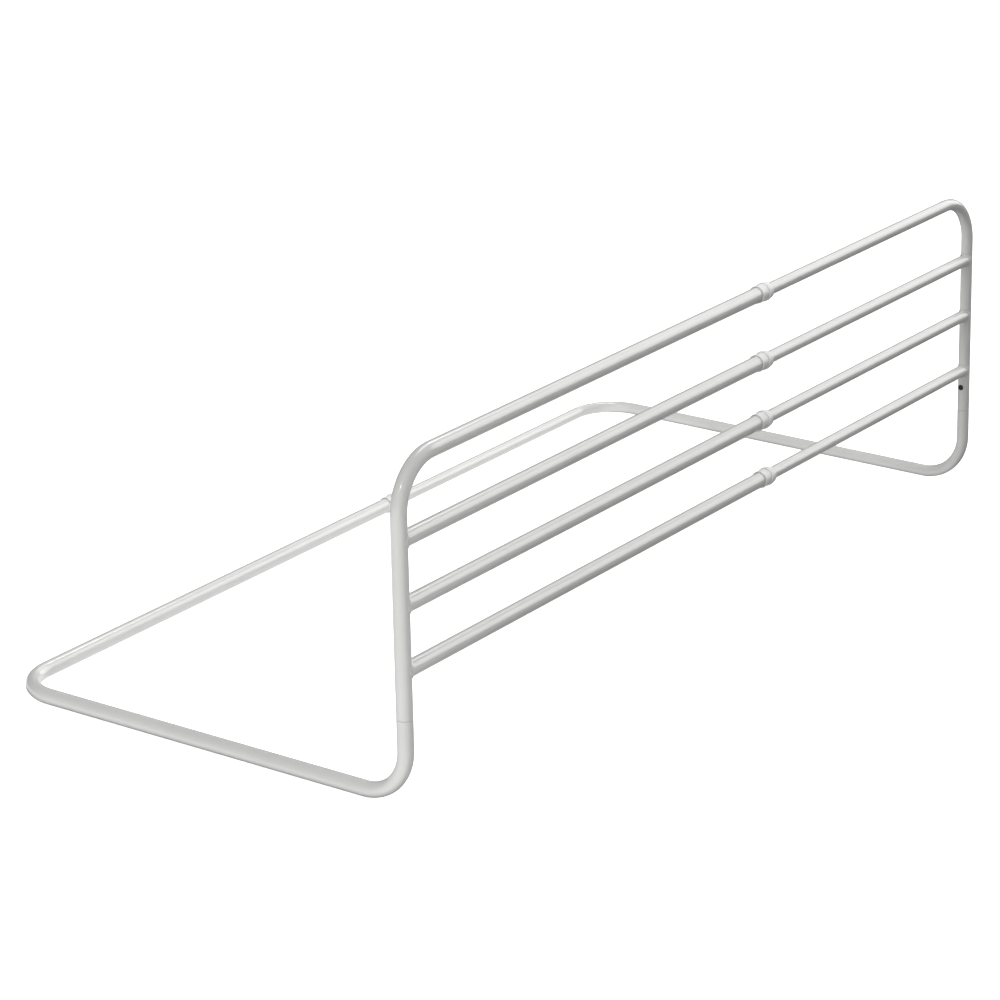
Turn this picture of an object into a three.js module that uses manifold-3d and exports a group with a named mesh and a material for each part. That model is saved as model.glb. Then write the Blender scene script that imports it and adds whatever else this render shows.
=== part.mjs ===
// Bed guard rail of round steel tube that slides out to the length of the bed.
// A guard panel of four rails stands on an open base frame that lies under the mattress.
// The left half is of wide tube and the right half of narrow tube, which runs inside the wide one.
// Millimetres, +X along the rails, +Y under the mattress, +Z up.
import * as THREE from "three";
import { mergeVertices } from "three/addons/utils/BufferGeometryUtils.js";
import Module from "manifold-3d";

const wasm = await Module();
wasm.setup();

// The frame, between the centre lines of its tubes
const guardSpan = 1283; // left upright to right upright, as slid out in the photograph
const guardHeight = 410; // base tubes to top rail
const frameDepth = 613; // guard panel to rear rail
const topRailDrop = 91; // top rail to upper rail
const railPitch = 79.5; // upper to middle rail, and middle to lower rail
const bendRadius = 62;
const seamHeight = 102; // base tubes to the seam in each upright

// Tube stock
const outerRadius = 10;
const outerWall = 1;
const innerRadius = 8;
const innerWall = 1.2;

// Clearances
const slideClearance = 0.3; // narrow tube in its bush, and glide in the wide tube
const seatClearance = 0.3; // pieces that are pressed, welded or screwed to each other
const cutOverrun = 5; // how far a cut runs past the face that it opens

// Mouths of the wide tubes
const mouthReach = 760; // left upright to mouth
const lowerMouthExtra = 8; // the lower rail's mouth stands out further
const rearMouthExtra = 13; // and so does the rear rail's

// Plastic bush capped over each mouth
const bushGrip = 14; // length over the wide tube
const bushGripRadius = 11.5;
const bushRimRadius = 12.2;
const bushRimWidth = 5; // the rim starts at the mouth
const bushNoseRadius = 11.1;
const bushLength = 11; // outside the mouth
const bushEdge = 0.7; // chamfer of the outer edges

// Plastic glide in the hidden end of each narrow tube
const insertion = 160; // hidden narrow tube behind each mouth
const glideLength = 25;
const glideStem = 16;
const glideEdge = 1.5;

// Joint between guard panel and base frame in each upright
const spigotRise = 60; // above the seam
const spigotDepth = 34; // below it
const spigotWall = 1.5;
const screwRise = 34; // seam to screw
const screwRadius = 2;
const screwLength = 9; // under the head
const screwHeadRadius = 3.8;
const screwHeadHeight = 2.2;
const screwHeadEdge = 1;
const screwSocketRadius = 1.5;
const screwSocketDepth = 1.2;
const nutRadius = 3;
const nutLength = 8;

// Fineness of the round surfaces
const tubeSides = 24;
const boreSides = 12;
const screwSides = 16;
const hexagonSides = 6;
const bendSteps = 7;

// Places worked out from the sizes above
const upperRailHeight = guardHeight - topRailDrop;
const middleRailHeight = upperRailHeight - railPitch;
const lowerRailHeight = middleRailHeight - railPitch;
const screwHeight = seamHeight + screwRise;
const outerBore = outerRadius - outerWall;
const innerBore = innerRadius - innerWall;
const bushSeatBore = outerRadius + seatClearance;
const bushBore = innerRadius + slideClearance;
const screwBore = screwRadius + seatClearance;

const xAxis = new THREE.Vector3(1, 0, 0);
const yAxis = new THREE.Vector3(0, 1, 0);

const tubePaint = { color: 0xdcdcda, roughness: 0.38, metalness: 0.1 };
const whitePlastic = { color: 0xf3f3f1, roughness: 0.45, metalness: 0 };
const greyPlastic = { color: 0xb9bbbc, roughness: 0.5, metalness: 0 };
const blackSteel = { color: 0x26272a, roughness: 0.4, metalness: 0.8 };
const zincSteel = { color: 0xa9adb0, roughness: 0.35, metalness: 0.9 };

// Joins the equal points of a closed geometry, drops collapsed faces and gives the solid
function solidOf(geometry) {
  geometry.deleteAttribute("normal");
  geometry.deleteAttribute("uv");
  const merged = mergeVertices(geometry);
  const corners = merged.index.array;
  const kept = [];
  for (let i = 0; i < corners.length; i += 3) {
    const face = [corners[i], corners[i + 1], corners[i + 2]];
    if (new Set(face).size === 3) kept.push(...face);
  }
  return new wasm.Manifold(
    new wasm.Mesh({
      numProp: 3,
      vertProperties: merged.attributes.position.array,
      triVerts: new Uint32Array(kept),
    }),
  );
}

// A named mesh from a solid
function piece(name, solid, finish) {
  const made = solid.getMesh();
  const geometry = new THREE.BufferGeometry();
  geometry.setAttribute("position", new THREE.BufferAttribute(made.vertProperties, 3));
  geometry.setIndex(new THREE.BufferAttribute(made.triVerts, 1));
  geometry.computeVertexNormals();
  const mesh = new THREE.Mesh(geometry, new THREE.MeshStandardMaterial(finish));
  mesh.name = name;
  return mesh;
}

// The places along a tube: its straight runs between corners, each corner a quarter turn
function stationsAlong(corners) {
  const last = corners.length - 1;
  const stations = [];
  corners.forEach((corner, index) => {
    const before = corner.clone().sub(corners[Math.max(index - 1, 0)]).normalize();
    const after = corners[Math.min(index + 1, last)].clone().sub(corner).normalize();
    if (index === 0 || index === last) {
      stations.push({ point: corner.clone(), tangent: index === 0 ? after : before });
      return;
    }
    const centre = corner.clone().addScaledVector(before, -bendRadius).addScaledVector(after, bendRadius);
    for (let step = 0; step <= bendSteps; step += 1) {
      const turn = ((step / bendSteps) * Math.PI) / 2;
      const point = centre.clone();
      point.addScaledVector(after, -bendRadius * Math.cos(turn));
      point.addScaledVector(before, bendRadius * Math.sin(turn));
      const tangent = before.clone().multiplyScalar(Math.cos(turn)).addScaledVector(after, Math.sin(turn));
      stations.push({ point, tangent });
    }
  });
  return stations;
}

// The centre line of a tube, which an extrusion follows station by station
class TubeLine extends THREE.Curve {
  constructor(corners) {
    super();
    this.stations = stationsAlong(corners);
    this.steps = this.stations.length - 1;
  }

  stationAt(share) {
    return this.stations[Math.round(share * this.steps)];
  }

  getPointAt(share) {
    return this.stationAt(share).point.clone();
  }

  getTangentAt(share) {
    return this.stationAt(share).tangent.clone();
  }
}

// A round section with flats, whose radius reaches to the flats
function roundSection(radius, sides) {
  const cornerRadius = radius / Math.cos(Math.PI / sides);
  const points = [];
  for (let side = 0; side < sides; side += 1) {
    const turn = ((side + 0.5) / sides) * 2 * Math.PI;
    points.push(new THREE.Vector2(cornerRadius * Math.cos(turn), cornerRadius * Math.sin(turn)));
  }
  return new THREE.Shape(points);
}

// A solid round bar along the corners
function bar(corners, radius, sides = tubeSides) {
  const line = new TubeLine(corners);
  const section = roundSection(radius, sides);
  return solidOf(new THREE.ExtrudeGeometry(section, { steps: line.steps, extrudePath: line }));
}

// The same corners with both ends moved out by the overrun of a cut
function lengthened(corners) {
  const longer = corners.map((corner) => corner.clone());
  const last = longer.length - 1;
  const startOut = longer[0].clone().sub(longer[1]).normalize();
  const endOut = longer[last].clone().sub(longer[last - 1]).normalize();
  longer[0].addScaledVector(startOut, cutOverrun);
  longer[last].addScaledVector(endOut, cutOverrun);
  return longer;
}

// A tube along the corners, open at both ends
function tube(corners, radius, wall) {
  return bar(corners, radius).subtract(bar(lengthened(corners), radius - wall, boreSides));
}

// A turned solid: its outline is [radius, place] pairs, from a point along a direction
function turned(outline, from, along, sides = tubeSides) {
  const reach = 1 / Math.cos(Math.PI / sides);
  const profile = outline.map(([radius, place]) => new THREE.Vector2(radius * reach, place));
  const geometry = new THREE.LatheGeometry(profile, sides, Math.PI / sides);
  geometry.applyQuaternion(new THREE.Quaternion().setFromUnitVectors(yAxis, along));
  geometry.translate(from.x, from.y, from.z);
  return solidOf(geometry);
}

// A turned cylinder
function cylinder(radius, length, from, along, sides = tubeSides) {
  const outline = [
    [0, 0],
    [radius, 0],
    [radius, length],
    [0, length],
  ];
  return turned(outline, from, along, sides);
}

// A point in the frame
function at(x, y, z) {
  return new THREE.Vector3(x, y, z);
}

// The five places where a narrow tube runs into a wide one, each at its mouth
const mouths = [
  { name: "top", place: at(mouthReach, 0, guardHeight) },
  { name: "upper", place: at(mouthReach, 0, upperRailHeight) },
  { name: "middle", place: at(mouthReach, 0, middleRailHeight) },
  { name: "lower", place: at(mouthReach + lowerMouthExtra, 0, lowerRailHeight) },
  { name: "rear", place: at(mouthReach + rearMouthExtra, frameDepth, 0) },
];
const [topMouth, upperMouth, middleMouth, lowerMouth, rearMouth] = mouths;
const railMouths = [upperMouth, middleMouth, lowerMouth];

// The hidden end of the narrow tube that runs into a mouth
function hiddenEnd(mouth) {
  return mouth.place.clone().addScaledVector(xAxis, -insertion);
}

// The upright's space with clearance, which an end that is welded to it is cut by
function uprightSpace(x, radius) {
  return bar([at(x, 0, seamHeight), at(x, 0, guardHeight)], radius + seatClearance);
}

// A cut from inside an upright, at the screw's height, through its wall towards the other upright
function screwWay(x, radius, holeRadius, inwards) {
  return cylinder(holeRadius, radius + cutOverrun, at(x, 0, screwHeight), inwards, screwSides);
}

function leftGuardTube() {
  const corners = [at(0, 0, seamHeight + seatClearance / 2), at(0, 0, guardHeight), topMouth.place];
  const hole = screwWay(0, outerRadius, screwBore, xAxis);
  return tube(corners, outerRadius, outerWall).subtract(hole);
}

function rightGuardTube() {
  const foot = at(guardSpan, 0, seamHeight + seatClearance / 2);
  const corners = [foot, at(guardSpan, 0, guardHeight), hiddenEnd(topMouth)];
  const hole = screwWay(guardSpan, innerRadius, screwBore, xAxis.clone().negate());
  return tube(corners, innerRadius, innerWall).subtract(hole);
}

function outerRail(mouth) {
  const corners = [at(0, 0, mouth.place.z), mouth.place];
  return tube(corners, outerRadius, outerWall).subtract(uprightSpace(0, outerRadius));
}

function innerRail(mouth) {
  const corners = [hiddenEnd(mouth), at(guardSpan, 0, mouth.place.z)];
  return tube(corners, innerRadius, innerWall).subtract(uprightSpace(guardSpan, innerRadius));
}

// Each base tube drops from the seam, runs back under the mattress and turns along the rear
function leftBaseTube() {
  const top = at(0, 0, seamHeight - seatClearance / 2);
  return tube([top, at(0, 0, 0), at(0, frameDepth, 0), rearMouth.place], outerRadius, outerWall);
}

function rightBaseTube() {
  const top = at(guardSpan, 0, seamHeight - seatClearance / 2);
  const corners = [top, at(guardSpan, 0, 0), at(guardSpan, frameDepth, 0), hiddenEnd(rearMouth)];
  return tube(corners, innerRadius, innerWall);
}

// The bush caps the end of the wide tube and closes its mouth around the narrow tube
function bush(mouth) {
  const outline = [
    [bushSeatBore, -bushGrip],
    [bushGripRadius - bushEdge, -bushGrip],
    [bushGripRadius, -bushGrip + bushEdge],
    [bushGripRadius, 0],
    [bushRimRadius, bushEdge],
    [bushRimRadius, bushRimWidth - bushEdge],
    [bushNoseRadius, bushRimWidth],
    [bushNoseRadius, bushLength - bushEdge],
    [bushNoseRadius - bushEdge, bushLength],
    [bushBore, bushLength],
    [bushBore, seatClearance],
    [bushSeatBore, seatClearance],
    [bushSeatBore, -bushGrip],
  ];
  return turned(outline, mouth.place, xAxis);
}

// The glide's stem is pressed into the narrow tube and its head runs in the wide one
function glide(mouth) {
  const stemRadius = innerBore - seatClearance;
  const headRadius = outerBore - slideClearance;
  const outline = [
    [0, -glideLength],
    [headRadius - glideEdge, -glideLength],
    [headRadius, -glideLength + glideEdge],
    [headRadius, -seatClearance],
    [stemRadius, -seatClearance],
    [stemRadius, glideStem],
    [0, glideStem],
  ];
  return turned(outline, hiddenEnd(mouth), xAxis);
}

// The spigot joins guard tube and base tube inside the upright, with a hole for its nut
function spigot(x, bore, inwards) {
  const radius = bore - seatClearance;
  const corners = [at(x, 0, seamHeight - spigotDepth), at(x, 0, seamHeight + spigotRise)];
  const hole = screwWay(x, radius, nutRadius + seatClearance, inwards);
  return tube(corners, radius, spigotWall).subtract(hole);
}

// The rim of the nut's outer end keeps clear of the tube's bore
function rivetNut(x, bore, inwards) {
  const outerEnd = Math.sqrt((bore - seatClearance * 2) ** 2 - nutRadius ** 2);
  const from = at(x, 0, screwHeight).addScaledVector(inwards, outerEnd - nutLength);
  const outline = [
    [screwBore, 0],
    [nutRadius, 0],
    [nutRadius, nutLength],
    [screwBore, nutLength],
    [screwBore, 0],
  ];
  return turned(outline, from, inwards, screwSides);
}

// A button-head screw with a hexagon socket, its head on the outside of the upright
function screw(x, radius, inwards) {
  const seat = at(x, 0, screwHeight).addScaledVector(inwards, radius + seatClearance);
  const outline = [
    [0, -screwLength],
    [screwRadius, -screwLength],
    [screwRadius, 0],
    [screwHeadRadius, 0],
    [screwHeadRadius, screwHeadHeight - screwHeadEdge * 2],
    [screwHeadRadius - screwHeadEdge, screwHeadHeight - screwHeadEdge / 2],
    [screwHeadRadius - screwHeadEdge * 2, screwHeadHeight],
    [0, screwHeadHeight],
  ];
  const bottom = seat.clone().addScaledVector(inwards, screwHeadHeight - screwSocketDepth);
  const socket = cylinder(screwSocketRadius, screwSocketDepth + cutOverrun, bottom, inwards, hexagonSides);
  return turned(outline, seat, inwards, screwSides).subtract(socket);
}

// The three pieces of the joint in one upright
function uprightJoint(side, x, radius, bore, inwards) {
  return [
    piece(`${side}_spigot`, spigot(x, bore, inwards), zincSteel),
    piece(`${side}_rivet_nut`, rivetNut(x, bore, inwards), zincSteel),
    piece(`${side}_screw`, screw(x, radius, inwards), blackSteel),
  ];
}

// The half that stays put: wide tubes, and the bush in each mouth
function leftHalf() {
  const half = new THREE.Group();
  half.add(piece("left_guard_tube", leftGuardTube(), tubePaint));
  half.add(piece("left_base_tube", leftBaseTube(), tubePaint));
  railMouths.forEach((mouth) => half.add(piece(`${mouth.name}_outer_rail`, outerRail(mouth), tubePaint)));
  mouths.forEach((mouth) => half.add(piece(`${mouth.name}_bush`, bush(mouth), whitePlastic)));
  half.add(...uprightJoint("left", 0, outerRadius, outerBore, xAxis));
  return half;
}

// The half that slides along X: narrow tubes, and the glide in each hidden end
function rightHalf() {
  const half = new THREE.Group();
  half.add(piece("right_guard_tube", rightGuardTube(), tubePaint));
  half.add(piece("right_base_tube", rightBaseTube(), tubePaint));
  railMouths.forEach((mouth) => half.add(piece(`${mouth.name}_inner_rail`, innerRail(mouth), tubePaint)));
  mouths.forEach((mouth) => half.add(piece(`${mouth.name}_glide`, glide(mouth), greyPlastic)));
  half.add(...uprightJoint("right", guardSpan, innerRadius, innerBore, xAxis.clone().negate()));
  return half;
}

// The origin is under the middle of the whole guard, at the level of the rear bush's underside
const guardRail = new THREE.Group();
guardRail.add(leftHalf(), rightHalf());
guardRail.position.set((outerRadius - guardSpan - innerRadius) / 2, -frameDepth / 2, bushRimRadius);

export default guardRail;
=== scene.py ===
# Extending bed guard rail of white powder-coated steel tube
# The left half is of wide tube; the right half is of narrow tube and slides in it through plastic bushes
import math
import bmesh
import bpy
from mathutils import Matrix, Vector


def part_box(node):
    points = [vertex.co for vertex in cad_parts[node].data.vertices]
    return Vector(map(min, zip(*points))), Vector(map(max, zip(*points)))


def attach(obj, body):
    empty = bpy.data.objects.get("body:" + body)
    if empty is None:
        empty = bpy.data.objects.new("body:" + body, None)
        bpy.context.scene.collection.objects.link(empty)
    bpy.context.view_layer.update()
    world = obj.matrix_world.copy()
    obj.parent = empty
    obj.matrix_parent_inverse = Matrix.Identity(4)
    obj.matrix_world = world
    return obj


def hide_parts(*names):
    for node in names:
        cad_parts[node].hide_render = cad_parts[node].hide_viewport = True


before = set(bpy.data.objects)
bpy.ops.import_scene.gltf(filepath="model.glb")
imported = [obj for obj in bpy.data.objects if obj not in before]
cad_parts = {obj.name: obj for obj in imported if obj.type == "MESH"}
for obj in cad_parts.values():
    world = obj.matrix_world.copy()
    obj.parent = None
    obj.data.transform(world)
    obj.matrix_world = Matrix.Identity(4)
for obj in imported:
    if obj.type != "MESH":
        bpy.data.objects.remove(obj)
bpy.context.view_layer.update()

mm = 0.001
hair = 0.01 * mm  # places nearer than this count as the same
xAxis = Vector((1, 0, 0))
yAxis = Vector((0, 1, 0))
zAxis = Vector((0, 0, 1))
left, right = "left_half", "right_half"
quarter = math.pi / 2


# Tube stock and places

tubes = {  # millimetres
    "wideRadius": 10.0,
    "wideWall": 1.0,
    "narrowRadius": 8.0,
    "narrowWall": 1.2,
    "bendRadius": 62.0,
    "bendFlattening": 0.03,  # share by which the middle of a bend is pressed in
    "rim": 0.35,             # rounding of a sawn and painted end
    "letIn": 0.15,           # a welded end goes this far into its upright, so that the weld covers the cut
    "copeEdge": 1.0,         # a ring this far inside a welded end keeps the shading true up to the weld
    "sides": 56,
    "bendStep": 2.8,         # between two rings in a bend
    "straightStep": 45.0,
}
wideRadius = tubes["wideRadius"] * mm
narrowRadius = tubes["narrowRadius"] * mm


def middle(node):
    low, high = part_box(node)
    return (low + high) / 2


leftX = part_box("left_guard_tube")[0].x + wideRadius
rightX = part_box("right_guard_tube")[1].x - narrowRadius
panelY = middle("right_guard_tube").y
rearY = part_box("right_base_tube")[1].y - narrowRadius
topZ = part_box("right_guard_tube")[1].z - narrowRadius
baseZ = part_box("right_base_tube")[0].z + narrowRadius
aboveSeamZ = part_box("right_guard_tube")[0].z
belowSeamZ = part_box("right_base_tube")[1].z

railNames = ("upper", "middle", "lower")
runNames = ("top", *railNames, "rear")  # the five places where a narrow tube runs into a wide one
wideNode = {name: name + "_outer_rail" for name in railNames}
wideNode |= {"top": "left_guard_tube", "rear": "left_base_tube"}
narrowNode = {name: name + "_inner_rail" for name in railNames}
narrowNode |= {"top": "right_guard_tube", "rear": "right_base_tube"}
mouthX = {name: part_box(wideNode[name])[1].x for name in runNames}
hiddenX = {name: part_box(narrowNode[name])[0].x for name in runNames}
runY = {name: rearY if name == "rear" else panelY for name in runNames}
runZ = {name: middle(narrowNode[name]).z for name in railNames}
runZ |= {"top": topZ, "rear": baseZ}


# Round pieces: an outline turned round a centre line

def newRun(start, along, side, length, out=None):
    # out is the way a bend leads to, and a straight run has none
    return {"start": start, "along": along, "side": side, "length": length, "out": out}


def centreLine(*corners):
    # straight runs with a quarter bend at each corner between them
    radius = tubes["bendRadius"] * mm
    into = (corners[1] - corners[0]).normalized()
    side = yAxis if abs(into.z) > 0.5 else into.cross(zAxis)
    start, runs = corners[0], []
    for here, after in zip(corners[1:-1], corners[2:]):
        out = (after - here).normalized()
        bendStart = here - into * radius
        runs.append(newRun(start, into, side, (bendStart - start).length))
        runs.append(newRun(bendStart, into, side, radius * quarter, out))
        side = Matrix.Rotation(quarter, 3, into.cross(out)) @ side
        start, into = here + out * radius, out
    runs.append(newRun(start, into, side, (corners[-1] - start).length))
    return runs


def lengthOf(line):
    return sum(run["length"] for run in line)


def stationAt(line, distance):
    # centre, direction, side and the press of a bend, at a distance from the start
    run = line[-1]
    for candidate in line[:-1]:
        if distance <= candidate["length"]:
            run = candidate
            break
        distance -= candidate["length"]
    if run["out"] is None:
        return run["start"] + run["along"] * distance, run["along"], run["side"], Vector()
    share = distance / run["length"]
    spin = Matrix.Rotation(share * quarter, 3, run["along"].cross(run["out"]))
    inward = spin @ run["out"]
    centre = run["start"] + (run["out"] - inward) * tubes["bendRadius"] * mm
    press = inward * math.sqrt(tubes["bendFlattening"] * max(math.sin(share * math.pi), 0))
    return centre, spin @ run["along"], spin @ run["side"], press


def eased(points, steps=4):
    # an outline in metres from (distance, radius, rounding) points in millimetres, its corners rounded
    flat = 1.5  # roundings from a corner to a point that keeps the flat beside it flat
    outline = []
    for index, (distance, radius, rounding) in enumerate(points):
        here = Vector((distance, radius))
        if not rounding:
            outline.append(here)
            continue
        before = Vector(points[index - 1][:2]) - here
        after = Vector(points[(index + 1) % len(points)][:2]) - here
        first, last = before.normalized() * rounding, after.normalized() * rounding
        if before.length > rounding * 2 * flat:
            outline.append(here + first * flat)
        for step in range(steps + 1):
            t = step / steps
            outline.append(here + first * (1 - t) ** 2 + last * t ** 2)
        if after.length > rounding * 2 * flat:
            outline.append(here + last * flat)
    return [(point.x * mm, point.y * mm) for point in outline]


def withRings(outline, line):
    # adds rings along an outline's long stretches, close together in the bends
    marks, start = [], 0.0
    for run in line:
        step = tubes["straightStep" if run["out"] is None else "bendStep"] * mm
        count = max(1, round(run["length"] / step))
        marks += [start + run["length"] * index / count for index in range(count)]
        start += run["length"]
    filled = []
    for (d0, r0), (d1, r1) in zip(outline, outline[1:] + outline[:1]):
        filled.append((d0, r0))
        between = [mark for mark in marks if min(d0, d1) + mm < mark < max(d0, d1) - mm]
        if d1 < d0:
            between.reverse()
        filled += [(mark, r0 + (r1 - r0) * (mark - d0) / (d1 - d0)) for mark in between]
    return filled


def newPiece(name, places, faces):
    mesh = bpy.data.meshes.new(name)
    mesh.from_pydata(places, [], faces)
    work = bmesh.new()
    work.from_mesh(mesh)
    bmesh.ops.recalc_face_normals(work, faces=work.faces)
    work.to_mesh(mesh)
    work.free()
    mesh.shade_smooth()
    piece = bpy.data.objects.new(name, mesh)
    bpy.context.scene.collection.objects.link(piece)
    return piece


def turned(name, line, outline, sides=tubes["sides"], placed=None):
    # placed, where given, moves each point of the turned surface
    places, rings = [], []
    for distance, radius in outline:
        centre, along, side, press = stationAt(line, distance)
        other = along.cross(side)
        count = sides if radius > 0 else 1
        rings.append(range(len(places), len(places) + count))
        for step in range(count):
            turn = step / sides * 2 * math.pi
            out = side * math.cos(turn) + other * math.sin(turn)
            place = centre + (out - press * out.dot(press)) * radius
            places.append(placed(place, out, turn, distance, radius) if placed else place)
    hollow = outline[0][1] > 0
    faces = []
    for one, other in zip(rings, rings[1:] + rings[:1] * hollow):
        for step in range(sides):
            around = ((one, step), (one, step + 1), (other, step + 1), (other, step))
            face = tuple(dict.fromkeys(ring[place % len(ring)] for ring, place in around))
            if len(face) > 2:
                faces.append(face)
    return newPiece(name, places, faces)


def dress(piece, body, slot, material, *nodes):
    piece.data.materials.append(material)
    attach(piece, body)
    if nodes:
        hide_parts(*nodes)
    return piece


# Materials

def linear(hexColour):
    # sRGB hex to the linear colour that the shader takes
    channels = [int(hexColour[i:i + 2], 16) / 255 for i in (1, 3, 5)]
    return [c / 12.92 if c <= 0.04045 else ((c + 0.055) / 1.055) ** 2.4 for c in channels] + [1.0]


def perMillimetre(size):
    # noise scale for a pattern of that size in millimetres
    return 1 / (size * mm)


def addNode(tree, kind, settings, inputs):
    # a node with its settings, and each input either set or linked
    node = tree.nodes.new(kind)
    for key, value in settings.items():
        setattr(node, key, value)
    for key, value in inputs.items():
        if isinstance(value, bpy.types.NodeSocket):
            tree.links.new(value, node.inputs[key])
        else:
            node.inputs[key].default_value = value
    return node


def newMaterial(name):
    material = bpy.data.materials.new(name)
    material.use_nodes = True
    tree = material.node_tree
    place = tree.nodes.new("ShaderNodeTexCoord").outputs["Object"]
    return material, tree, tree.nodes["Principled BSDF"], place


powder = {
    "colour": "#EDEDEB",
    "thin": "#E4E4E2",       # where the coat is a little thinner
    "roughness": (0.11, 0.16),
    "peel": 4.5,             # real orange peel is 1 to 2 mm; drawn coarser so that it shows
    "peelDepth": 0.022,
    "clouds": 70.0,
    "rubLength": 60.0,
    "rubWidth": 1.6,
    "rubGain": 0.9,
    "rubLift": 0.05,
    "glossFrom": (0.3, 0.7), # share of the pattern over which the roughness changes
}


def powderCoatedSteel(name, rubbed):
    # baked polyester powder on steel: semi-gloss, with faint orange peel; rubbed tube has fine marks along it
    material, tree, shader, place = newMaterial(name)
    clouds = addNode(tree, "ShaderNodeTexNoise", {}, {
        "Vector": place, "Scale": perMillimetre(powder["clouds"]), "Detail": 3.0})
    colour = addNode(tree, "ShaderNodeMix", {"data_type": "RGBA"}, {
        "Factor": clouds.outputs["Fac"], "A": linear(powder["colour"]), "B": linear(powder["thin"])})
    peel = addNode(tree, "ShaderNodeTexNoise", {}, {
        "Vector": place, "Scale": perMillimetre(powder["peel"]), "Detail": 2.0, "Roughness": 0.45})
    gloss = clouds.outputs["Fac"]
    if rubbed:
        along, across = perMillimetre(powder["rubLength"]), perMillimetre(powder["rubWidth"])
        stretched = addNode(tree, "ShaderNodeVectorMath", {"operation": "MULTIPLY"}, {
            0: place, 1: (along, across, across)})
        rub = addNode(tree, "ShaderNodeTexNoise", {}, {
            "Vector": stretched.outputs[0], "Scale": 1.0, "Detail": 4.0})
        gloss = addNode(tree, "ShaderNodeMath", {"operation": "MULTIPLY_ADD"}, {
            0: rub.outputs["Fac"], 1: powder["rubGain"], 2: powder["rubLift"]}).outputs[0]
    spread = addNode(tree, "ShaderNodeMapRange", {}, {
        "Value": gloss, "From Min": powder["glossFrom"][0], "From Max": powder["glossFrom"][1],
        "To Min": powder["roughness"][0], "To Max": powder["roughness"][1]})
    bump = addNode(tree, "ShaderNodeBump", {}, {
        "Height": peel.outputs["Fac"], "Strength": 1.0, "Distance": powder["peelDepth"] * mm})
    shader.inputs["IOR"].default_value = 1.5
    tree.links.new(colour.outputs["Result"], shader.inputs["Base Color"])
    tree.links.new(spread.outputs["Result"], shader.inputs["Roughness"])
    tree.links.new(bump.outputs["Normal"], shader.inputs["Normal"])
    return material


moulding = {  # millimetres
    "grain": 1.8,            # real spark-eroded grain is 0.1 to 0.3 mm; drawn coarser so that it shows
    "grainDepth": 0.012,
    "clouds": 14.0,
    "roughnessSpread": 0.05,
}


def mouldedPlastic(name, colour, shade, roughness):
    # injection-moulded polyamide: satin skin with a fine spark-eroded grain, a little uneven in tone
    material, tree, shader, place = newMaterial(name)
    clouds = addNode(tree, "ShaderNodeTexNoise", {}, {
        "Vector": place, "Scale": perMillimetre(moulding["clouds"]), "Detail": 2.0})
    tone = addNode(tree, "ShaderNodeMix", {"data_type": "RGBA"}, {
        "Factor": clouds.outputs["Fac"], "A": linear(colour), "B": linear(shade)})
    grain = addNode(tree, "ShaderNodeTexNoise", {}, {
        "Vector": place, "Scale": perMillimetre(moulding["grain"]), "Detail": 3.0})
    bump = addNode(tree, "ShaderNodeBump", {}, {
        "Height": grain.outputs["Fac"], "Strength": 1.0, "Distance": moulding["grainDepth"] * mm})
    spread = addNode(tree, "ShaderNodeMapRange", {}, {
        "Value": grain.outputs["Fac"],
        "To Min": roughness - moulding["roughnessSpread"], "To Max": roughness + moulding["roughnessSpread"]})
    shader.inputs["IOR"].default_value = 1.53
    tree.links.new(tone.outputs["Result"], shader.inputs["Base Color"])
    tree.links.new(spread.outputs["Result"], shader.inputs["Roughness"])
    tree.links.new(bump.outputs["Normal"], shader.inputs["Normal"])
    return material


finish = {"glossier": 0.08, "duller": 0.1, "pitDepth": 0.01}  # the depth in millimetres


def finishedSteel(name, colour, shade, roughness, blotch):
    # machined steel with a thin finish of black oxide or zinc: a metal's sheen, a little blotchy and pitted
    material, tree, shader, place = newMaterial(name)
    patches = addNode(tree, "ShaderNodeTexNoise", {}, {
        "Vector": place, "Scale": perMillimetre(blotch), "Detail": 4.0})
    tone = addNode(tree, "ShaderNodeMix", {"data_type": "RGBA"}, {
        "Factor": patches.outputs["Fac"], "A": linear(colour), "B": linear(shade)})
    spread = addNode(tree, "ShaderNodeMapRange", {}, {
        "Value": patches.outputs["Fac"],
        "To Min": roughness - finish["glossier"], "To Max": roughness + finish["duller"]})
    bump = addNode(tree, "ShaderNodeBump", {}, {
        "Height": patches.outputs["Fac"], "Strength": 1.0, "Distance": finish["pitDepth"] * mm})
    shader.inputs["Metallic"].default_value = 1.0
    tree.links.new(tone.outputs["Result"], shader.inputs["Base Color"])
    tree.links.new(spread.outputs["Result"], shader.inputs["Roughness"])
    tree.links.new(bump.outputs["Normal"], shader.inputs["Normal"])
    return material


whitePowder = powderCoatedSteel("white_powder_coated_steel", rubbed=False)
rubbedPowder = powderCoatedSteel("rubbed_white_powder_coated_steel", rubbed=True)
whitePolyamide = mouldedPlastic("white_moulded_polyamide", "#FBFBF9", "#F6F6F4", 0.42)
greyPolyamide = mouldedPlastic("grey_moulded_polyamide", "#B9BBBC", "#AEB0B2", 0.5)
blackOxideSteel = finishedSteel("black_oxide_steel", "#47474A", "#545457", 0.5, 2.5)
zincPlatedSteel = finishedSteel("zinc_plated_steel", "#B9BDC1", "#C9CBC8", 0.34, 6.0)
print("materials made:", len(bpy.data.materials))


# Tubes

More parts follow.
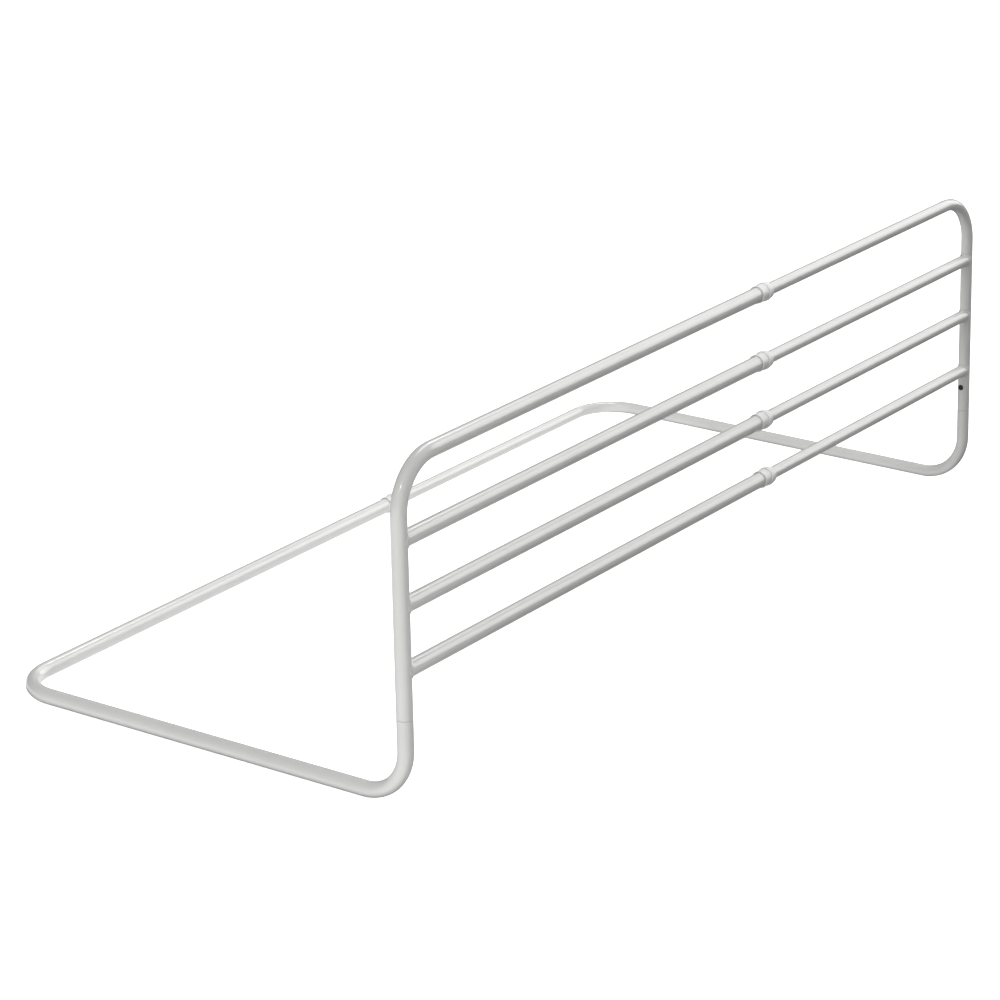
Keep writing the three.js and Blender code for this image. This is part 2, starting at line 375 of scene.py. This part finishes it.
def tubePiece(name, line, size, body, material, welded="", placed=None):
    # a tube along its line, with rounded ends apart from one that is welded
    radius = tubes[size + "Radius"]
    bore = radius - tubes[size + "Wall"]
    length = lengthOf(line) / mm
    first = 0 if welded == "start" else tubes["rim"]
    last = 0 if welded == "end" else tubes["rim"]
    skin = [(0, radius, first), (length, radius, last)]
    if welded:
        skin.insert(1, (tubes["copeEdge"] if welded == "start" else length - tubes["copeEdge"], radius, 0))
    outline = eased(skin + [(length, bore, last), (0, bore, first)])
    piece = turned(name + "_skin", line, withRings(outline, line), placed=placed)
    return dress(piece, body, "tube_paint", material, name)


def coped(line, atEnd, uprightX, uprightRadius):
    # the end of a rail is cut to the round of its upright
    reachTo = uprightRadius - tubes["letIn"] * mm
    endDistance = lengthOf(line) if atEnd else 0.0

    def placed(place, out, turn, distance, radius):
        fromEnd = abs(distance - endDistance)
        if fromEnd > tubes["copeEdge"] * mm + hair:
            return place
        reach = math.sqrt(max(reachTo ** 2 - (place.y - panelY) ** 2, 0)) + fromEnd
        return Vector((uprightX + (-reach if atEnd else reach), place.y, place.z))
    return placed


def guardLine(x, endX):
    # up from the seam and along the top rail
    return centreLine(
        Vector((x, panelY, aboveSeamZ)), Vector((x, panelY, topZ)), Vector((endX, panelY, topZ)))


def baseLine(x, endX):
    # down from the seam, back under the mattress and along the rear rail
    return centreLine(
        Vector((x, panelY, belowSeamZ)), Vector((x, panelY, baseZ)),
        Vector((x, rearY, baseZ)), Vector((endX, rearY, baseZ)))


tubePiece("left_guard_tube", guardLine(leftX, mouthX["top"]), "wide", left, whitePowder)
tubePiece("left_base_tube", baseLine(leftX, mouthX["rear"]), "wide", left, whitePowder)
tubePiece("right_guard_tube", guardLine(rightX, hiddenX["top"]), "narrow", right, rubbedPowder)
tubePiece("right_base_tube", baseLine(rightX, hiddenX["rear"]), "narrow", right, rubbedPowder)

for rail in railNames:
    line = centreLine(Vector((leftX, panelY, runZ[rail])), Vector((mouthX[rail], panelY, runZ[rail])))
    cope = coped(line, False, leftX, wideRadius)
    tubePiece(rail + "_outer_rail", line, "wide", left, whitePowder, "start", cope)

    line = centreLine(Vector((hiddenX[rail], panelY, runZ[rail])), Vector((rightX, panelY, runZ[rail])))
    cope = coped(line, True, rightX, narrowRadius)
    tubePiece(rail + "_inner_rail", line, "narrow", right, rubbedPowder, "end", cope)
print("tubes made: 4 bent and 6 straight")


# Welds between rails and uprights

weld = {  # millimetres
    "halfWidth": 2.1,
    "halfHeight": 1.2,
    "cornerLift": 0.7,    # centre of the bead above a square corner
    "sideLift": -0.55,    # and below the skin where the tubes run side by side
    "corner": 1.6,        # softens the kink at the sides of the seam
    "ripple": 1.9,
    "rippleDepth": 0.07,
    "steps": 192,
    "sides": 12,
    "nudge": 0.01,        # radians to both sides of a place, for the way the seam runs there
}


def weldBead(name, body, uprightX, towards, height, radius):
    # follows the seam where the skins of a rail and an upright of the same tube meet
    def seam(turn):
        y, z = radius * math.cos(turn), radius * math.sin(turn)
        reach = math.hypot(math.sqrt(radius ** 2 - y ** 2), weld["corner"] * mm)
        return Vector((uprightX + towards * reach, panelY + y, height + z))

    steps, sides = weld["steps"], weld["sides"]
    places, faces, travelled = [], [], 0.0
    for step in range(steps):
        turn = step / steps * 2 * math.pi
        here = seam(turn)
        along = (seam(turn + weld["nudge"]) - seam(turn - weld["nudge"])).normalized()
        railOut = Vector((0, math.cos(turn), math.sin(turn)))
        uprightOut = Vector((here.x - uprightX, here.y - panelY, 0)).normalized()
        bisector = (railOut + uprightOut).normalized()
        across = along.cross(bisector)
        openness = 1 - railOut.dot(uprightOut)
        lift = (weld["sideLift"] + (weld["cornerLift"] - weld["sideLift"]) * openness) * mm
        travelled += (seam(turn + 2 * math.pi / steps) - here).length
        ripple = weld["rippleDepth"] * mm * math.sin(travelled / (weld["ripple"] * mm) * 2 * math.pi)
        for side in range(sides):
            spin = side / sides * 2 * math.pi
            rise = lift + (weld["halfHeight"] * mm + ripple) * math.sin(spin)
            places.append(here + bisector * rise + across * weld["halfWidth"] * mm * math.cos(spin))
            one, other = step * sides, (step + 1) % steps * sides
            after = (side + 1) % sides
            faces.append((one + side, one + after, other + after, other + side))
    return dress(newPiece(name, places, faces), body, "tube_paint", whitePowder)


for rail in railNames:
    weldBead(rail + "_outer_weld", left, leftX, 1, runZ[rail], wideRadius)
    weldBead(rail + "_inner_weld", right, rightX, -1, runZ[rail], narrowRadius)
print("welds made:", 2 * len(railNames))


# Bushes and glides

bush = {  # millimetres
    "bore": 8.3,
    "seatBore": 10.3,
    "stop": 0.3,         # inner face that the mouth of the wide tube meets
    "seatEdge": 0.2,
    "grip": 14.0,        # length over the wide tube
    "gripRadius": 11.2,
    "lipRadius": 11.5,   # bead round the back face
    "lipWidth": 3.0,
    "lipSlope": 0.6,
    "lipEdges": (0.5, 0.4),
    "rimRadius": 12.2,   # the rim starts at the mouth
    "rimWidth": 5.0,
    "rimSlope": 0.4,
    "rimEdges": (0.5, 0.9),
    "noseRadius": 11.1,
    "noseEdges": (1.0, 0.5),
    "cornerEase": 0.3,   # in the inner corners
    "length": 11.0,      # outside the mouth
}
glide = {  # millimetres
    "radius": 8.7,
    "length": 25.0,
    "tipEdge": 1.5,
    "groove": 0.7,
    "grooveHalfWidth": 1.0,
    "grooves": 3,
    "fineEdge": 0.2,
    "seat": 0.3,         # between the head and the tube's end
    "stemRadius": 6.5,
    "stem": 16.0,
    "stemEdge": 0.8,
}


def straightLine(start, along, length):
    return centreLine(start, start + along * length)


def mouldedBush(name):
    # a cap over the end of the wide tube: lip, body, rim and a nose around the narrow tube
    grip, ease = bush["grip"], bush["cornerEase"]
    lipEnd = bush["lipWidth"] + bush["lipSlope"]
    rimEnd = grip + bush["rimWidth"]
    end = grip + bush["length"]
    stop = grip + bush["stop"]
    start = Vector((mouthX[name] - grip * mm, runY[name], runZ[name]))
    line = straightLine(start, xAxis, end * mm)
    outline = eased([
        (0, bush["seatBore"], bush["seatEdge"]), (0, bush["lipRadius"], bush["lipEdges"][0]),
        (bush["lipWidth"], bush["lipRadius"], bush["lipEdges"][1]), (lipEnd, bush["gripRadius"], ease),
        (grip - bush["rimSlope"], bush["gripRadius"], ease), (grip, bush["rimRadius"], bush["rimEdges"][0]),
        (rimEnd, bush["rimRadius"], bush["rimEdges"][1]), (rimEnd, bush["noseRadius"], ease),
        (end, bush["noseRadius"], bush["noseEdges"][0]), (end, bush["bore"], bush["noseEdges"][1]),
        (stop, bush["bore"], ease), (stop, bush["seatBore"], bush["seatEdge"])])
    piece = turned(name + "_bush_moulding", line, outline)
    dress(piece, left, "bush_plastic", whitePolyamide, name + "_bush")


def mouldedGlide(name):
    # a plug pressed into the hidden end of the narrow tube, with grooves round its head
    head, edge, half = glide["length"], glide["fineEdge"], glide["grooveHalfWidth"]
    start = Vector((hiddenX[name] - head * mm, runY[name], runZ[name]))
    line = straightLine(start, xAxis, (head + glide["stem"]) * mm)
    points = [(0, 0, 0), (0, glide["radius"], glide["tipEdge"])]
    low = glide["radius"] - glide["groove"]
    for number in range(1, glide["grooves"] + 1):
        place = number * head / (glide["grooves"] + 1)
        points += [(place - half, glide["radius"], edge), (place - half, low, edge)]
        points += [(place + half, low, edge), (place + half, glide["radius"], edge)]
    headEnd, stemEnd = head - glide["seat"], head + glide["stem"]
    points += [(headEnd, glide["radius"], glide["seat"]), (headEnd, glide["stemRadius"], edge)]
    points += [(stemEnd, glide["stemRadius"], glide["stemEdge"]), (stemEnd, 0, 0)]
    piece = turned(name + "_glide_moulding", line, eased(points))
    dress(piece, right, "glide_plastic", greyPolyamide, name + "_glide")


for name in runNames:
    mouldedBush(name)
    mouldedGlide(name)
print("bushes and glides made:", 2 * len(runNames))


# Screws, and the hidden joint in each upright

screw = {  # a button-head screw, millimetres
    "shank": 9.0,
    "radius": 2.0,
    "tipChamfer": 0.4,
    "headRadius": 3.8,
    "headHeight": 2.2,
    "headChamfer": 0.15,
    "headFoot": 0.3,     # height at which the dome starts
    "domeAngle": 60,
    "domeSteps": 8,
    "crown": 1.95,       # radius of the flat on top
    "acrossFlats": 2.5,
    "socketDepth": 1.3,
    "socketMouthShare": 1.3,
    "socketChamfer": 0.12,
    "socketCone": 0.4,   # what the drill left under the flats
    "sides": 48,
}


def buttonScrew(side, body, inwards):
    low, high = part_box(side + "_screw")
    centre = (low + high) / 2
    shank, total = screw["shank"], screw["shank"] + screw["headHeight"]
    tip = Vector((high.x if inwards < 0 else low.x, centre.y, centre.z))
    line = straightLine(tip, xAxis * inwards, total * mm)
    points = [(0, 0, 0), (0, screw["radius"] - screw["tipChamfer"], 0)]
    points += [(screw["tipChamfer"], screw["radius"], 0), (shank, screw["radius"], 0)]
    points.append((shank, screw["headRadius"] - screw["headChamfer"], 0))
    points.append((shank + screw["headChamfer"], screw["headRadius"], 0))
    dome, rise = math.radians(screw["domeAngle"]), screw["headHeight"] - screw["headFoot"]
    for step in range(screw["domeSteps"] + 1):
        angle = dome * step / screw["domeSteps"]
        inward = (1 - math.cos(angle)) / (1 - math.cos(dome))
        radius = screw["headRadius"] - (screw["headRadius"] - screw["crown"]) * inward
        height = screw["headFoot"] + rise * math.sin(angle) / math.sin(dome)
        points.append((shank + height, radius, 0))
    flat, socketEnd = screw["acrossFlats"] / 2, total - screw["socketDepth"]
    points.append((total, flat * screw["socketMouthShare"], 0))
    points += [(total - screw["socketChamfer"], flat, 0), (socketEnd, flat, 0)]
    points.append((socketEnd - screw["socketCone"], 0, 0))

    def placed(place, out, turn, distance, radius):
        # the bore of the socket becomes a hexagon
        if distance < socketEnd * mm - hair or abs(radius - flat * mm) > hair:
            return place
        sixth = math.pi / 3
        return place + out * radius * (1 / math.cos((turn + sixth / 2) % sixth - sixth / 2) - 1)

    piece = turned(side + "_button_screw", line, eased(points), sides=screw["sides"], placed=placed)
    dress(piece, body, "screw_steel", blackOxideSteel, side + "_screw")


buttonScrew("left", left, 1)
buttonScrew("right", right, -1)
for side in ("left", "right"):
    for part in ("_spigot", "_rivet_nut"):
        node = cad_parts[side + part]
        node.data.materials.clear()
        node.data.materials.append(zincPlatedSteel)
print("screws made: 2")


# Floor, light and camera

paper = {
    "halfWidth": 60,
    "colour": "#F4F4F4",
    "roughness": 0.9,
    "glow": 0.97,            # it is lit from under, as on a light table, and shows no shadows
    "fibre": 3.0,            # millimetres; real fibres are finer, drawn coarser so that they show
    "fibreDepth": 0.02,
}


def paperFloor():
    # uncoated paper: matt, with a faint tooth of fibres
    size = paper["halfWidth"]
    corners = [(-size, -size, 0), (size, -size, 0), (size, size, 0), (-size, size, 0)]
    floor = newPiece("paper_floor", corners, [(0, 1, 2, 3)])
    material, tree, shader, place = newMaterial("matt_white_paper")
    fibre = addNode(tree, "ShaderNodeTexNoise", {}, {
        "Vector": place, "Scale": perMillimetre(paper["fibre"]), "Detail": 2.0})
    bump = addNode(tree, "ShaderNodeBump", {}, {
        "Height": fibre.outputs["Fac"], "Distance": paper["fibreDepth"] * mm})
    tree.links.new(bump.outputs["Normal"], shader.inputs["Normal"])
    shader.inputs["Base Color"].default_value = linear(paper["colour"])
    shader.inputs["Roughness"].default_value = paper["roughness"]
    shader.inputs["Emission Color"].default_value = (1, 1, 1, 1)
    shader.inputs["Emission Strength"].default_value = paper["glow"]
    floor.data.materials.append(material)
    # sheet lamps stand for the paper's own bounce
    floor.visible_diffuse = False
    floor.visible_glossy = False
    floor.visible_shadow = False


studio = {
    "lamps": (  # degrees from +Y towards +X, degrees above the floor, width in degrees, strength
        ("key_lamp", -113, 28, 83, 1.12),
        ("key_core", -96, 36, 11, 0.46),
        ("fill_lamp", 111, 19, 45, 1.74),
        ("upper_lamp", 74, 36, 22, 0.26),
    ),
    "underGlow": 0.08,
    "strip": {  # a strip box overhead, which draws the long streak in the guard's bend
        "ends": ((2.61, 0.75, 3.07), (-0.17, 0.48, 4.64)),
        "aim": (-0.62, -0.30, 0.42),
        "width": 0.7,
        "brightness": 9.0,
    },
    "sheetHeight": -0.002,   # just under the paper
    "sheets": (  # bounce from the paper: x from and to, y from and to in metres, and how bright
        (-0.61, 0.63, -0.33, 0.12, 0.56),  # stops short of the legs, whose undersides are darker
        (-0.61, 0.63, 0.12, 0.33, 0.76),
        (-2.20, -0.66, -1.50, 0.90, 0.85),
        (-0.70, 2.00, 0.33, 1.00, 1.26),
        (-6.00, -2.20, -3.00, 6.00, 0.86),
    ),
}


def towards(azimuth, elevation):
    a, e = math.radians(azimuth), math.radians(elevation)
    return Vector((math.sin(a) * math.cos(e), math.cos(a) * math.cos(e), math.sin(e)))


def lamp(name, azimuth, elevation, width, strength):
    light = bpy.data.lights.new(name, "SUN")
    light.energy = strength
    light.angle = math.radians(width)
    holder = bpy.data.objects.new(name, light)
    holder.rotation_euler = towards(azimuth, elevation).to_track_quat("Z", "Y").to_euler()
    bpy.context.scene.collection.objects.link(holder)


def sheetLamp(name, location, facing, along, size, brightness):
    # an evenly bright rectangle, its length along one way, that shines away from facing
    light = bpy.data.lights.new(name, "AREA")
    light.shape = "RECTANGLE"
    light.size, light.size_y = size
    light.energy = brightness * math.pi * size[0] * size[1]
    holder = bpy.data.objects.new(name, light)
    holder.location = location
    back = facing.normalized()
    side = back.cross(along).normalized()
    holder.rotation_euler = Matrix((side.cross(back), side, back)).transposed().to_euler()
    holder.visible_camera = False
    bpy.context.scene.collection.objects.link(holder)


def studioWorld():
    # dark overhead, a little light from below, and pale where the eye meets it
    world = bpy.data.worlds.new("studio")
    world.use_nodes = True
    tree = world.node_tree
    place = tree.nodes.new("ShaderNodeTexCoord").outputs["Generated"]
    height = addNode(tree, "ShaderNodeSeparateXYZ", {}, {0: place})
    below = addNode(tree, "ShaderNodeMath", {"operation": "LESS_THAN"}, {0: height.outputs["Z"], 1: 0.0})
    glow = addNode(tree, "ShaderNodeMath", {"operation": "MULTIPLY"}, {
        0: below.outputs[0], 1: studio["underGlow"]})
    seen = tree.nodes.new("ShaderNodeLightPath").outputs["Is Camera Ray"]
    strength = addNode(tree, "ShaderNodeMath", {"operation": "MAXIMUM"}, {0: glow.outputs[0], 1: seen})
    tree.nodes["Background"].inputs["Color"].default_value = (1, 1, 1, 1)
    tree.links.new(strength.outputs[0], tree.nodes["Background"].inputs["Strength"])
    bpy.context.scene.world = world


camera = {
    "eye": (-3871.6, -2822.9, 1896.2),  # millimetres
    "heading": 53.683,                  # degrees from +Y towards +X
    "tilt": 20.349,
    "roll": -1.241,
    "lens": 140.69,
    "sight": 200,                       # metres
}


def photographersEye():
    eye = bpy.data.objects.new("eye", bpy.data.cameras.new("eye"))
    eye.data.lens = camera["lens"]
    eye.data.clip_end = camera["sight"]
    heading = Matrix.Rotation(-math.radians(camera["heading"]), 3, "Z")
    tilt = Matrix.Rotation(quarter - math.radians(camera["tilt"]), 3, "X")
    roll = Matrix.Rotation(math.radians(camera["roll"]), 3, "Z")
    turn = heading @ tilt @ roll
    eye.matrix_world = Matrix.Translation(Vector(camera["eye"]) * mm) @ turn.to_4x4()
    bpy.context.scene.collection.objects.link(eye)
    bpy.context.scene.camera = eye


paperFloor()
for settings in studio["lamps"]:
    lamp(*settings)
for number, (x0, x1, y0, y1, brightness) in enumerate(studio["sheets"]):
    centre = Vector(((x0 + x1) / 2, (y0 + y1) / 2, studio["sheetHeight"]))
    sheetLamp("bounce_" + str(number), centre, -zAxis, xAxis, (x1 - x0, y1 - y0), brightness)
strip = studio["strip"]
stripEnds = [Vector(end) for end in strip["ends"]]
stripLine = stripEnds[0] - stripEnds[1]
stripPlace = (stripEnds[0] + stripEnds[1]) / 2
stripSize = (stripLine.length, strip["width"])
stripFacing = stripPlace - Vector(strip["aim"])
sheetLamp("strip_lamp", stripPlace, stripFacing, stripLine, stripSize, strip["brightness"])
studioWorld()
photographersEye()
bpy.context.scene.view_settings.view_transform = "Standard"
print("studio set")
